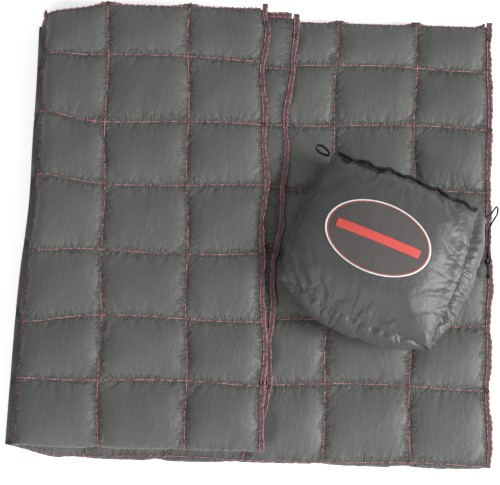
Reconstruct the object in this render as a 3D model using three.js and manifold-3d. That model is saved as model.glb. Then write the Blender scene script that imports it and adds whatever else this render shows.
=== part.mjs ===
// Quilted camp blanket with its stuffed carry sack lying on it.
// The blanket is folded in half along its near edge, so that it has two leaves,
// and then the left third of both leaves is folded over onto the rest.
// Millimetres, +Z up, +Y away from the folded near edge. The origin is on the
// floor under the middle of the folded base.
import * as THREE from 'three';
import { mergeVertices } from 'three/addons/utils/BufferGeometryUtils.js';
import Module from 'manifold-3d';

const wasm = await Module();
wasm.setup();

// ---- Driving dimensions ----

const GAP = 0.3; // between pieces that touch
const CLOTH = 1.2; // a shell fabric with its coating and seam allowance
const COLUMN = 215; // a quilted cell along X, as it lies lofted
const ROW = 175.4; // a quilted cell along Y, as it lies lofted
const BASE_COLUMNS = 6;
const FOLDED_ROWS = 7;
const LEAF = 26; // a lofted leaf's thickness

const HALF_WIDTH = (COLUMN * BASE_COLUMNS) / 2;
const HALF_DEPTH = (ROW * FOLDED_ROWS) / 2;
const FOLD_X = -HALF_WIDTH; // the side fold, and the hinge line
const FOLD_Z = 2 * LEAF;
const ON_BASE = FOLD_Z + GAP; // what lies on the folded base starts here
const SIDE_ROLL = 2 * LEAF; // radius of the side fold's outside
const FLAP_SET_BACK = 26; // the flap's near fold lies this far inside the base's

const HEM = 16;
const HEM_THICK = 4;
const SNAP = { hole: 2.6, post: 2.2, cap: 6.2, capEdge: 5.4, capHeight: 1.6, socket: 5.6, socketHeight: 2 };

// The far left corner is drawn in by the double fold.
const CORNER_X = -440;
const CORNER_DROP = 40;
const UPPER_BASE_FAR = HALF_DEPTH;
const UPPER_FLAP_FAR = HALF_DEPTH + 25;
const LOWER_FLAP_FAR = HALF_DEPTH + 10;
// The side fold runs askew. The cloth is drawn in at it, more towards the far end,
// and less and less up to the still line, where it isn't drawn in at all.
const SKEW = { nearY: -564, nearShift: 6, farY: 574, farShift: 37, stillX: 45 };
// Free edges of the flap, from the far end to the near fold. They meet where the
// near roll begins, and run straight round it.
const ROLL_START = -HALF_DEPTH + FLAP_SET_BACK + 2 * LEAF;
const NEAR_EDGE = [[45, ROLL_START], [45, -HALF_DEPTH]];
const UPPER_EDGE = [[22, UPPER_FLAP_FAR], ...NEAR_EDGE];
const LOWER_EDGE = [[108, LOWER_FLAP_FAR], [64, 300], [58, -60], ...NEAR_EDGE];

const SACK = {
  width: 472, depth: 428, height: 150, x: 336, y: -58, turn: -21,
  backTop: 0.2, frontBottom: 0.72, corner: 0.12,
};
// Height up the sack's side, as a share of its height, and its size there.
const SACK_SIDE = [
  [0, 0.78], [0.07, 0.9], [0.2, 0.97], [0.4, 1], [0.58, 0.985], [0.72, 0.93],
  [0.84, 0.83], [0.93, 0.68], [0.98, 0.42],
];
const BADGE = { width: 290, depth: 190, x: -26, y: 31 };
const MOUTH_HEM = { reach: 0.44, bottom: 0.6, top: 0.645, out: 5 };

const LOOP = { x: 197.6, y: 216.2, z: 106, length: 44, width: 22, band: 2.4, tape: 10, turn: 146 };

const CORD = 5;
const CORD_SIDES = 8;
const SNAP_SIDES = 10;
const SACK_SIDES = 32;
const OVAL_STEPS = 16;
const LOOP_STEPS = 10;
const SIDE_FOLD_STEPS = 12;
const KNOT_SIDES = [10, 8];
const BARREL_SIDES = 20;
const PLUNGER_SIDES = 16;
const LOCK = { x: 631, y: -54, radius: 9, bore: 6.3, height: 20, floor: 1.6, cordHeight: 12 };
const PLUNGER = { radius: 6, bottom: 7, top: 25, window: 11.2 };
const SPRING = { radius: 4, wire: 0.9, turns: 3.5, sides: 6, stepsPerTurn: 12 };
const CORD_Z = ON_BASE + LOCK.cordHeight;
// The drawcord: out of the mouth hem, round a small bight, down the sack's side,
// through the lock and on to its knot.
const CORD_ROUTE = [
  [614, 54.5, 145.5], [620, 57, 143.5], [627, 63.5, 138], [634, 73, 129], [641, 83, 117],
  [648, 89, 103], [653, 84, 90], [652, 72, 79], [645, 60, 71], [638, 46, 66],
  [633, 30, 64], [631, 12, 63], [631, -6, 64], [631, -20, CORD_Z],
  [631, -40, CORD_Z], [631, -60, CORD_Z],
  [631, -78, CORD_Z], [631, -88, CORD_Z - 1],
];
const CORD_STEP = 7.5;
const KNOT_RADIUS = 6;

// ---- Colours ----

const FABRIC = { color: 0x646463, roughness: 0.55, metalness: 0 };
const LINING = { color: 0x555556, roughness: 0.6, metalness: 0 };
const WADDING = { color: 0xe8e6e0, roughness: 0.95, metalness: 0 };
const BLACK_FABRIC = { color: 0x161617, roughness: 0.8, metalness: 0 };
const BLACK_PLASTIC = { color: 0x121213, roughness: 0.35, metalness: 0 };
const STEEL = { color: 0xb9bcc0, roughness: 0.3, metalness: 0.9 };
const BADGE_CLOTH = { color: 0x57514f, roughness: 0.7, metalness: 0 };

// ---- Making and joining solids ----

function solidOf(geometry) {
  const bare = geometry.clone();
  bare.deleteAttribute('normal');
  bare.deleteAttribute('uv');
  const merged = mergeVertices(bare, 1e-4);
  return new wasm.Manifold(new wasm.Mesh({
    numProp: 3,
    vertProperties: merged.attributes.position.array,
    triVerts: merged.index.array,
  }));
}

function geometryOf(solid) {
  const mesh = solid.getMesh();
  const geometry = new THREE.BufferGeometry();
  geometry.setAttribute('position', new THREE.BufferAttribute(mesh.vertProperties, 3));
  geometry.setIndex(new THREE.BufferAttribute(mesh.triVerts, 1));
  geometry.computeVertexNormals();
  return geometry;
}

function named(name, geometry, look) {
  const mesh = new THREE.Mesh(geometry, new THREE.MeshStandardMaterial(look));
  mesh.name = name;
  return mesh;
}

function extrude(shape, depth, segments = 8) {
  return new THREE.ExtrudeGeometry(shape, {
    depth, bevelEnabled: false, curveSegments: segments,
  });
}

function polygon(points) {
  return new THREE.Shape(points.map(([a, b]) => new THREE.Vector2(a, b)));
}

// A plan outline in X and Y, from bottom to top.
function prism(points, bottom, top) {
  return solidOf(extrude(polygon(points), top - bottom).translate(0, 0, bottom));
}

function block(low, high) {
  const [x, y] = [(low[0] + high[0]) / 2, (low[1] + high[1]) / 2];
  const box = new THREE.BoxGeometry(high[0] - low[0], high[1] - low[1], high[2] - low[2]);
  return solidOf(box.translate(x, y, (low[2] + high[2]) / 2));
}

// A profile drawn in Y and Z, extruded along X.
function alongX(shape, from, to) {
  const turn = new THREE.Matrix4().makeBasis(
    new THREE.Vector3(0, 1, 0), new THREE.Vector3(0, 0, 1), new THREE.Vector3(1, 0, 0),
  );
  return solidOf(extrude(shape, to - from).applyMatrix4(turn).translate(from, 0, 0));
}

// A profile drawn in X and Z, extruded along Y.
function alongY(shape, from, to) {
  const turn = new THREE.Matrix4().makeBasis(
    new THREE.Vector3(1, 0, 0), new THREE.Vector3(0, 0, 1), new THREE.Vector3(0, -1, 0),
  );
  return solidOf(extrude(shape, to - from, SIDE_FOLD_STEPS).applyMatrix4(turn).translate(0, to, 0));
}

// ---- The blanket's folded leaves ----

const BEYOND = 700; // past every free edge, before a leaf is cut to its outline

// Two leaves and the roll that joins them at the near edge, drawn in Y and Z.
function nearRoll(centreY, middleZ, radius) {
  const shape = new THREE.Shape();
  shape.moveTo(BEYOND, middleZ - radius);
  shape.lineTo(centreY, middleZ - radius);
  shape.absarc(centreY, middleZ, radius, -Math.PI / 2, -1.5 * Math.PI, true);
  shape.lineTo(BEYOND, middleZ + radius);
  return shape;
}

// Everything inside the side fold, drawn in X and Z. The round side is below the
// fold line on the base and above it on the flap.
function sideRoll(flatZ, radius, towards) {
  const centreX = FOLD_X + SIDE_ROLL;
  const shape = new THREE.Shape();
  shape.moveTo(BEYOND, flatZ);
  shape.lineTo(centreX - radius, flatZ);
  const end = towards < 0 ? 1.5 * Math.PI : 0.5 * Math.PI;
  shape.absarc(centreX, flatZ, radius, Math.PI, end, towards > 0);
  shape.lineTo(BEYOND, flatZ + towards * radius);
  return shape;
}

const BASE = {
  middle: LEAF, rollY: -HALF_DEPTH + LEAF, rollRadius: LEAF,
  flatZ: FOLD_Z, sideRadius: SIDE_ROLL, towards: -1,
};
const FLAP = {
  middle: FOLD_Z + GAP + (2 * LEAF - GAP) / 2,
  rollY: -HALF_DEPTH + FLAP_SET_BACK + LEAF, rollRadius: (2 * LEAF - GAP) / 2,
  flatZ: FOLD_Z + GAP, sideRadius: SIDE_ROLL - GAP, towards: 1,
};

// The outside of a folded part, drawn in by an inset all round.
function envelope(part, inset) {
  const near = alongX(nearRoll(part.rollY, part.middle, part.rollRadius - inset), -BEYOND, BEYOND);
  const side = alongY(sideRoll(part.flatZ, part.sideRadius - inset, part.towards), -BEYOND, BEYOND);
  return near.intersect(side);
}

function shifted(edge, dx, dy) {
  return edge.map(([x, y]) => [x + dx, y + dy]);
}

// Where an edge line is in X, at a place in Y.
function edgeAt(edge, y) {
  const i = Math.max(edge.findIndex(([, next]) => next <= y), 1);
  const [a, b] = [edge[i - 1], edge[i]];
  return a[0] + ((y - a[1]) / (b[1] - a[1])) * (b[0] - a[0]);
}

// A leaf's outline in plan inside its hems, with the drawn-in far left corner.
function leafOutline(edge, far) {
  const left = FOLD_X - 1;
  const inFar = far - HEM - GAP;
  const side = shifted([[edgeAt(edge, inFar), inFar], ...edge.slice(1)], -HEM - GAP, 0);
  return [
    [left, -BEYOND], [left, inFar - CORNER_DROP], [CORNER_X, inFar], ...side,
    [side.at(-1)[0], -BEYOND],
  ];
}

// How far the side fold draws the cloth in at a place.
function drawnIn(x, y) {
  const share = Math.max((SKEW.stillX - x) / (SKEW.stillX - FOLD_X), 0);
  const along = (y - SKEW.nearY) / (SKEW.farY - SKEW.nearY);
  return share * (SKEW.nearShift + along * (SKEW.farShift - SKEW.nearShift));
}

function settled(solid) {
  const geometry = geometryOf(solid);
  const place = geometry.attributes.position;
  for (let i = 0; i < place.count; i += 1) {
    place.setX(i, place.getX(i) + drawnIn(place.getX(i), place.getY(i)));
  }
  geometry.computeVertexNormals();
  return geometry;
}

// Cuts a folded part's upper and lower leaf each to its own outline.
function trimmed(solid, part, upper, lower) {
  const top = prism(upper, part.middle, part.middle + 2 * LEAF);
  const bottom = prism(lower, part.middle - 2 * LEAF, part.middle);
  return solid.intersect(top.add(bottom));
}

function leafPieces(name, part, upper, lower) {
  const outer = envelope(part, 0).subtract(envelope(part, CLOTH));
  const innerOut = part.rollRadius - GAP - CLOTH;
  const lining = envelope(part, innerOut).subtract(envelope(part, innerOut + CLOTH));
  const wadding = envelope(part, CLOTH + GAP).subtract(envelope(part, innerOut - GAP));
  return [
    named(`${name}_outer_shell`, settled(trimmed(outer, part, upper, lower)), FABRIC),
    named(`${name}_fill`, settled(trimmed(wadding, part, upper, lower)), WADDING),
    named(`${name}_inner_shell`, settled(trimmed(lining, part, upper, lower)), LINING),
  ];
}

// ---- Hems ----

// Leaf heights: the middle of the upper and of the lower leaf.
function leafHeight(part, level) {
  return part.middle + level * (part.rollRadius / 2);
}

// A free side's hem, from the upper leaf round the near roll to the lower leaf.
function sideHem(part, upper, lower) {
  const solids = [];
  for (const [edge, level] of [[upper, 1], [lower, -1]]) {
    const strip = [...edge, ...shifted(edge, -HEM, 0).reverse()];
    const z = leafHeight(part, level);
    solids.push(prism(strip, z - HEM_THICK / 2, z + HEM_THICK / 2));
  }
  const middle = part.rollRadius / 2;
  const ring = alongX(nearRoll(part.rollY, part.middle, middle + HEM_THICK / 2), -BEYOND, BEYOND)
    .subtract(alongX(nearRoll(part.rollY, part.middle, middle - HEM_THICK / 2), -BEYOND, BEYOND));
  const right = upper.at(-1)[0];
  const nearPart = ring.intersect(block([right - HEM, -BEYOND, 0], [right, part.rollY + 2, BEYOND]));
  const strips = solids[0].add(solids[1])
    .intersect(block([-BEYOND, part.rollY, 0], [BEYOND, BEYOND, BEYOND]));
  return strips.add(nearPart);
}

function farHem(part, level, far, right) {
  const left = FOLD_X + SIDE_ROLL;
  const cornerDrop = (CORNER_DROP * (CORNER_X - left)) / (CORNER_X - FOLD_X);
  const line = [[left, far - cornerDrop], [CORNER_X, far], [right, far]];
  const z = leafHeight(part, level);
  return prism([...line, ...shifted(line, 0, -HEM).reverse()], z - HEM_THICK / 2, z + HEM_THICK / 2);
}

// ---- Snaps ----

// A press stud through a hem: cap on the upper side, post, and socket below.
function snapGeometry() {
  const under = -HEM_THICK / 2 - GAP;
  const over = HEM_THICK / 2 + GAP;
  const socket = under - SNAP.socketHeight;
  const cap = over + SNAP.capHeight;
  const profile = [
    [0, socket], [SNAP.socket, socket], [SNAP.socket, under], [SNAP.post, under],
    [SNAP.post, over], [SNAP.cap, over], [SNAP.capEdge, cap], [0, cap],
  ];
  const lathe = new THREE.LatheGeometry(profile.map(([r, z]) => new THREE.Vector2(r, z)), SNAP_SIDES);
  return lathe.rotateX(Math.PI / 2);
}

function snapHole([x, y, z]) {
  const drill = new THREE.CylinderGeometry(SNAP.hole, SNAP.hole, 2 * HEM_THICK, SNAP_SIDES);
  return solidOf(drill.rotateX(Math.PI / 2).translate(x, y, z));
}

function hemWithSnaps(name, hem, snapNames, places) {
  const cut = places.reduce((solid, place) => solid.subtract(snapHole(place)), hem);
  const snaps = places.map(([x, y, z], i) => {
    const snap = named(`${snapNames}_${i + 1}`, snapGeometry(), BLACK_PLASTIC);
    snap.position.set(x + drawnIn(x, y), y, z);
    return snap;
  });
  return [named(name, settled(cut), FABRIC), ...snaps];
}

// Side snaps stand by the far corner and by each second row of stitching.
function sideSnapPlaces(part, level, edge, far) {
  const rows = [far - 2 * HEM, far - 2 * ROW, far - 4 * ROW, far - 6 * ROW];
  return rows.map((y) => [edgeAt(edge, y) - HEM / 2, y, leafHeight(part, level)]);
}

// ---- The blanket ----

function basePieces() {
  const right = HALF_WIDTH;
  const edge = [[right, HALF_DEPTH], [right, -HALF_DEPTH]];
  const cut = leafOutline(edge, UPPER_BASE_FAR);
  const level = { upper: 1, lower: -1 };
  const farPlaces = (z) => [1, 2].map((n) => [right - n * COLUMN, HALF_DEPTH - HEM / 2, z]);
  return [
    ...leafPieces('base', BASE, cut, cut),
    ...hemWithSnaps('base_side_hem', sideHem(BASE, edge, edge), 'base_side_snap', [
      ...sideSnapPlaces(BASE, level.upper, edge, UPPER_BASE_FAR),
      ...sideSnapPlaces(BASE, level.lower, edge, UPPER_BASE_FAR),
    ]),
    ...hemWithSnaps('base_upper_far_hem', farHem(BASE, level.upper, UPPER_BASE_FAR, right - HEM - GAP),
      'base_upper_far_snap', farPlaces(leafHeight(BASE, level.upper))),
    ...hemWithSnaps('base_lower_far_hem', farHem(BASE, level.lower, UPPER_BASE_FAR, right - HEM - GAP),
      'base_lower_far_snap', farPlaces(leafHeight(BASE, level.lower))),
  ];
}

function flapPieces() {
  const upper = leafOutline(UPPER_EDGE, UPPER_FLAP_FAR);
  const lower = leafOutline(LOWER_EDGE, LOWER_FLAP_FAR);
  const farRight = (edge) => Math.min(edge[0][0], edgeAt(edge, edge[0][1] - HEM)) - HEM - GAP;
  const farPlaces = [1, 2].map((n) => [
    UPPER_EDGE[0][0] - n * COLUMN, UPPER_FLAP_FAR - HEM / 2, leafHeight(FLAP, 1),
  ]);
  return [
    ...leafPieces('flap', FLAP, upper, lower),
    ...hemWithSnaps('flap_side_hem', sideHem(FLAP, UPPER_EDGE, LOWER_EDGE), 'flap_side_snap', [
      ...sideSnapPlaces(FLAP, 1, UPPER_EDGE, UPPER_FLAP_FAR),
      ...sideSnapPlaces(FLAP, -1, LOWER_EDGE, LOWER_FLAP_FAR),
    ]),
    ...hemWithSnaps('flap_upper_far_hem', farHem(FLAP, 1, UPPER_FLAP_FAR, farRight(UPPER_EDGE)),
      'flap_far_snap', farPlaces),
    named('flap_lower_far_hem',
      settled(farHem(FLAP, -1, LOWER_FLAP_FAR, farRight(LOWER_EDGE))), FABRIC),
  ];
}

// ---- The carry sack, drawn about its own middle, then turned and placed ----

function signedPower(value, power) {
  return Math.sign(value) * Math.abs(value) ** power;
}

// A closed form with a rounded-square plan, stacked from the side's profile.
function sackEnvelope(inset) {
  const around = SACK_SIDES;
  const rings = SACK_SIDE.map(([share, size]) => {
    const z = inset + share * (SACK.height - 2 * inset);
    return Array.from({ length: around }, (_, k) => {
      const angle = (2 * Math.PI * (k + 0.5)) / around;
      return [
        (SACK.width / 2) * size * signedPower(Math.cos(angle), SACK.corner) * (1 - (2 * inset) / SACK.width),
        (SACK.depth / 2) * size * signedPower(Math.sin(angle), SACK.corner) * (1 - (2 * inset) / SACK.depth),
        z,
      ];
    });
  });
  const positions = [...rings.flat(), [0, 0, inset], [0, 0, SACK.height - inset]].flat();
  const bottom = rings.length * around;
  const top = bottom + 1;
  const last = (rings.length - 1) * around;
  const index = [];
  for (let k = 0; k < around; k += 1) {
    const next = (k + 1) % around;
    index.push(bottom, next, k, top, last + k, last + next);
    for (let ring = 0; ring < rings.length - 1; ring += 1) {
      const [low, high] = [ring * around, (ring + 1) * around];
      index.push(low + k, low + next, high + next, low + k, high + next, high + k);
    }
  }
  const geometry = new THREE.BufferGeometry();
  geometry.setAttribute('position', new THREE.Float32BufferAttribute(positions, 3));
  geometry.setIndex(index);
  return solidOf(geometry);
}

function sackSlice(solid, from, to) {
  const wide = SACK.width;
  return solid.intersect(block([-wide, -wide, from * SACK.height], [wide, wide, to * SACK.height]));
}

function ovalShape(width, depth) {
  const shape = new THREE.Shape();
  shape.absellipse(0, 0, width / 2, depth / 2, 0, 2 * Math.PI);
  return shape;
}

function sackPieces() {
  const skin = sackEnvelope(0).subtract(sackEnvelope(CLOTH));
  const seam = GAP / SACK.height;
  const oval = solidOf(extrude(ovalShape(BADGE.width, BADGE.depth), SACK.height, OVAL_STEPS)
    .translate(BADGE.x, BADGE.y, SACK.height * SACK.frontBottom));
  const badge = sackEnvelope(-GAP - 1).subtract(sackEnvelope(-GAP)).intersect(oval);
  const reach = MOUTH_HEM.reach * SACK.width;
  const mouth = sackEnvelope(-GAP - MOUTH_HEM.out).subtract(sackEnvelope(-GAP)).intersect(block(
    [-reach, 0, MOUTH_HEM.bottom * SACK.height], [reach, SACK.width, MOUTH_HEM.top * SACK.height],
  ));
  return [
    named('sack_front_panel', geometryOf(sackSlice(skin, SACK.frontBottom + seam, 2)), FABRIC),
    named('sack_side_gusset', geometryOf(sackSlice(skin, SACK.backTop + seam, SACK.frontBottom)), FABRIC),
    named('sack_back_panel', geometryOf(sackSlice(skin, -1, SACK.backTop)), FABRIC),
    named('sack_filling', geometryOf(sackEnvelope(CLOTH + GAP)), WADDING),
    named('sack_mouth_hem', geometryOf(mouth), BLACK_FABRIC),
    named('badge_patch', geometryOf(badge), BADGE_CLOTH),
  ];
}

// A webbing loop sewn into the corner, its tape standing on edge.
function hangLoop() {
  const ring = (length, width) => {
    const shape = new THREE.Shape();
    shape.absellipse(LOOP.length / 2, 0, length / 2, width / 2, 0, 2 * Math.PI);
    return shape;
  };
  const shape = ring(LOOP.length, LOOP.width);
  shape.holes.push(ring(LOOP.length - 2 * LOOP.band, LOOP.width - 2 * LOOP.band));
  const mesh = named('hang_loop', extrude(shape, LOOP.tape, LOOP_STEPS), BLACK_FABRIC);
  mesh.position.set(LOOP.x, LOOP.y, LOOP.z);
  mesh.rotation.z = THREE.MathUtils.degToRad(LOOP.turn);
  return mesh;
}

// ---- The drawcord and its lock ----

function tube(route, radius, sides, steps) {
  const section = polygon(Array.from({ length: sides }, (_, k) => {
    const angle = (2 * Math.PI * k) / sides;
    return [radius * Math.cos(angle), radius * Math.sin(angle)];
  }));
  const path = new THREE.CatmullRomCurve3(route.map((p) => new THREE.Vector3(...p)));
  return new THREE.ExtrudeGeometry(section, { steps, extrudePath: path, bevelEnabled: false });
}

function drawcord() {
  const route = new THREE.CatmullRomCurve3(CORD_ROUTE.map((p) => new THREE.Vector3(...p)));
  const steps = Math.round(route.getLength() / CORD_STEP);
  return named('drawcord', tube(CORD_ROUTE, CORD / 2, CORD_SIDES, steps), BLACK_FABRIC);
}

function cordKnot() {
  const [x, y, z] = CORD_ROUTE.at(-1);
  const knot = named('drawcord_knot', new THREE.SphereGeometry(KNOT_RADIUS, ...KNOT_SIDES), BLACK_FABRIC);
  knot.position.set(x, y - KNOT_RADIUS - GAP, z);
  return knot;
}

function crossHole(width, bottom, top) {
  const reach = 2 * LOCK.radius;
  return block([-width / 2, -reach, bottom], [width / 2, reach, top]);
}

function lockPieces() {
  const round = (radius, bottom, top, sides = BARREL_SIDES) => solidOf(
    new THREE.CylinderGeometry(radius, radius, top - bottom, sides)
      .rotateX(Math.PI / 2).translate(0, 0, (bottom + top) / 2),
  );
  const cordHole = CORD + 1.6;
  const barrel = round(LOCK.radius, 0, LOCK.height)
    .subtract(round(LOCK.bore, LOCK.floor, LOCK.height + 1))
    .subtract(crossHole(cordHole, LOCK.cordHeight - cordHole / 2, LOCK.cordHeight + cordHole / 2));
  const windowTop = LOCK.cordHeight + PLUNGER.window - cordHole / 2;
  const plunger = round(PLUNGER.radius, PLUNGER.bottom, PLUNGER.top, PLUNGER_SIDES)
    .subtract(crossHole(cordHole, LOCK.cordHeight - cordHole / 2, windowTop));
  const low = LOCK.floor + GAP + SPRING.wire / 2;
  const high = PLUNGER.bottom - GAP - SPRING.wire / 2;
  const turns = SPRING.turns * SPRING.stepsPerTurn;
  const coil = Array.from({ length: turns + 1 }, (_, k) => {
    const angle = (2 * Math.PI * k) / SPRING.stepsPerTurn;
    const z = low + ((high - low) * k) / turns;
    return [SPRING.radius * Math.cos(angle), SPRING.radius * Math.sin(angle), z];
  });
  const group = new THREE.Group();
  group.position.set(LOCK.x, LOCK.y, ON_BASE);
  group.add(
    named('cord_lock_barrel', geometryOf(barrel), BLACK_PLASTIC),
    named('cord_lock_plunger', geometryOf(plunger), BLACK_PLASTIC),
    named('cord_lock_spring', tube(coil, SPRING.wire / 2, SPRING.sides, turns), STEEL),
  );
  return group;
}

// ---- Assembly ----

const sack = new THREE.Group();
sack.position.set(SACK.x, SACK.y, ON_BASE);
sack.rotation.z = THREE.MathUtils.degToRad(SACK.turn);
sack.add(...sackPieces());

const blanket = new THREE.Group();
blanket.add(...basePieces(), ...flapPieces(), sack, hangLoop(), drawcord(), cordKnot(), lockPieces());

export default blanket;
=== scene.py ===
"""Looks of the folded camp blanket and the stuffed sack lying on it.

Metres throughout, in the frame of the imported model: +Z up, +Y away from the near
fold, the side fold on the left. The whole blanket is one quilted cloth, described
by a column number and a row number and bent round its two folds.
"""
import math

import bpy
import numpy as np
from mathutils.bvhtree import BVHTree
from mathutils import Matrix, Vector


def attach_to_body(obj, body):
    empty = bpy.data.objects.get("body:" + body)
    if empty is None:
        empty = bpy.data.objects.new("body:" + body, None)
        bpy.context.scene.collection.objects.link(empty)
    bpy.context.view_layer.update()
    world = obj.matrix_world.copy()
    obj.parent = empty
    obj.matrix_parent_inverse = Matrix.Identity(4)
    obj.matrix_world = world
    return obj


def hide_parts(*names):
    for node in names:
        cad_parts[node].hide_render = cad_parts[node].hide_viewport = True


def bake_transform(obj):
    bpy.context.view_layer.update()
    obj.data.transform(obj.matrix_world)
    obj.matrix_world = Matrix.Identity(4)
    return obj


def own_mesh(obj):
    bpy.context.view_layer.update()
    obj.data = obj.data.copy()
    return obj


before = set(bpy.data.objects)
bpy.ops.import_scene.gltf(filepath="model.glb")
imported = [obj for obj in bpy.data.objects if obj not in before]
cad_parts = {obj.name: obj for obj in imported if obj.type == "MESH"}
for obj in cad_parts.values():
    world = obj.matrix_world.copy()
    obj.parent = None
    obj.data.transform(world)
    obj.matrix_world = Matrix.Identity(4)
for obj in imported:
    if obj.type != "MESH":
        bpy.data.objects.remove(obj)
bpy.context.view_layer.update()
MM = 0.001
SEED = 11


# ---- Camera ----

def add_camera():
    place = Vector((-0.010, -0.660, 4.049))
    elevation = math.radians(80.87)
    roll = math.radians(1.59)
    look = Vector((0, math.cos(elevation), -math.sin(elevation)))
    right = Vector((1, 0, 0))
    up = Vector((0, math.sin(elevation), math.cos(elevation)))
    side = math.cos(roll) * right + math.sin(roll) * up
    top = -math.sin(roll) * right + math.cos(roll) * up
    data = bpy.data.cameras.new("camera")
    data.lens = 108
    data.sensor_width = 36
    data.sensor_fit = "HORIZONTAL"
    data.clip_end = 50
    camera = bpy.data.objects.new("camera", data)
    bpy.context.scene.collection.objects.link(camera)
    turn = Matrix((side, top, -look)).transposed().to_4x4()
    camera.matrix_world = Matrix.Translation(place) @ turn
    bpy.context.scene.camera = camera


add_camera()


# ---- Materials ----

def new_material(name):
    material = bpy.data.materials.new(name)
    material.use_nodes = True
    nodes = material.node_tree.nodes
    return material, nodes, nodes["Principled BSDF"]


def put(node, slot, value):
    """Links a socket to a node's input, or stores a plain value there."""
    if isinstance(value, bpy.types.NodeSocket):
        node.id_data.links.new(value, node.inputs[slot])
    else:
        node.inputs[slot].default_value = value


def fill_in(node, **settings):
    """Fills a node's inputs by name, with _ for a space, or else its properties."""
    for key, value in settings.items():
        slot = key.replace("_", " ")
        if slot in node.inputs:
            put(node, slot, value)
        else:
            setattr(node, key, value)


def add_node(nodes, kind, *values, **settings):
    """A shader node. values go to its inputs in order, and settings by name."""
    made = nodes.new("ShaderNode" + kind)
    for slot, value in enumerate(values):
        put(made, slot, value)
    fill_in(made, **settings)
    return made


def shade_ramp(nodes, factor, low, dark, high, light):
    """A colour from dark to light, as the factor goes from low to high."""
    ramp = add_node(nodes, "ValToRGB", factor)
    for stop, position, colour in zip(ramp.color_ramp.elements, (low, high), (dark, light)):
        stop.position = position
        stop.color = colour
    return ramp.outputs["Color"]


def linear(red, green, blue):
    """A display colour, 0 to 255, as linear RGBA."""
    def one(c):
        c /= 255
        return c / 12.92 if c <= 0.04045 else ((c + 0.055) / 1.055) ** 2.4
    return (one(red), one(green), one(blue), 1)


def cloth_material(name, dark, light, roughness, weave=0.9, creases=1.0, sheen=0.1):
    """Woven nylon: a fine square weave, soft small creases and slight shade changes."""
    material, nodes, shader = new_material(name)
    where = add_node(nodes, "TexCoord").outputs["Object"]
    shade = add_node(nodes, "TexNoise", Vector=where, Scale=5.0, Detail=4.0, Roughness=0.6)
    threads = []
    for axis in ("X", "Y"):
        wave = add_node(nodes, "TexWave", Vector=where, wave_type="BANDS", bands_direction=axis,
                        Scale=420.0, Distortion=0.6, Detail_Scale=3.0)
        threads.append(wave.outputs["Fac"])
    both = add_node(nodes, "Math", *threads, operation="ADD")
    fine = add_node(nodes, "Bump", Height=both.outputs[0], Strength=0.25 * weave, Distance=0.0002)
    slanted = add_node(nodes, "Mapping", Vector=where, Rotation=(0, 0, 0.6), Scale=(1.0, 0.45, 1.0))
    crease = add_node(nodes, "TexNoise", Vector=slanted.outputs["Vector"], Scale=60.0, Detail=5.0,
                      Roughness=0.55, Distortion=0.8)
    soft = add_node(nodes, "Bump", Height=crease.outputs["Fac"], Normal=fine.outputs["Normal"],
                    Strength=0.60 * creases, Distance=0.003)
    colour = shade_ramp(nodes, shade.outputs["Fac"], 0.35, dark, 0.65, light)
    fill_in(shader, Base_Color=colour, Roughness=roughness, Sheen_Weight=sheen, Sheen_Roughness=0.4,
            Specular_IOR_Level=0.4, Normal=soft.outputs["Normal"])
    return material


def add_seam_puckers(material):
    """Short tight puckers beside the quilting, where the mesh says how near its seams are.

    The mesh attribute quilt_place holds the column and row seam numbers, with fractions.
    """
    nodes = material.node_tree.nodes
    shader = nodes["Principled BSDF"]

    def maths(operation, *values):
        return add_node(nodes, "Math", *values, operation=operation).outputs[0]

    place = add_node(nodes, "Attribute", attribute_name="quilt_place").outputs["Vector"]
    split = add_node(nodes, "SeparateXYZ", place)
    patchy = add_node(nodes, "TexNoise", Vector=place, Scale=4.0, Detail=2.0).outputs["Fac"]
    heights = []
    for axis, wide, stretch in (("X", 0.215, (7, 19, 1)), ("Y", 0.175, (23, 6, 1))):
        distance = maths("PINGPONG", split.outputs[axis], 0.5)
        reach = maths("MULTIPLY_ADD", patchy, 0.070 / wide, -0.015 / wide)
        near = add_node(nodes, "MapRange", Value=distance, From_Min=0.001 / wide, From_Max=reach,
                        To_Min=1.0, To_Max=0.0, interpolation_type="SMOOTHSTEP")
        stretched = add_node(nodes, "Mapping", Vector=place, Scale=stretch)
        noise = add_node(nodes, "TexNoise", Vector=stretched.outputs["Vector"], Scale=1.0,
                         Detail=4.0, Roughness=0.6, Distortion=1.2)
        level = maths("SUBTRACT", noise.outputs["Fac"], 0.5)
        heights.append(maths("MULTIPLY", level, near.outputs["Result"]))
    bump = add_node(nodes, "Bump", Height=maths("ADD", *heights), Strength=1.0, Distance=0.020,
                    Normal=shader.inputs["Normal"].links[0].from_socket)
    fill_in(shader, Normal=bump.outputs["Normal"])


def thread_material(name, colour, other, sheen=0.2, specular=0.5):
    """Twisted thread: a diagonal twist and uneven shade along its length."""
    material, nodes, shader = new_material(name)
    where = add_node(nodes, "TexCoord").outputs["Object"]
    shade = add_node(nodes, "TexNoise", Vector=where, Scale=90.0, Detail=3.0)
    twist = add_node(nodes, "TexWave", Vector=where, wave_type="BANDS", bands_direction="DIAGONAL",
                     Scale=300.0, Distortion=0.5)
    bump = add_node(nodes, "Bump", Height=twist.outputs["Fac"], Strength=0.5, Distance=0.0003)
    mixed = shade_ramp(nodes, shade.outputs["Fac"], 0.4, other, 0.6, colour)
    fill_in(shader, Base_Color=mixed, Roughness=0.6, Sheen_Weight=sheen,
            Specular_IOR_Level=specular, Normal=bump.outputs["Normal"])
    return material


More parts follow.
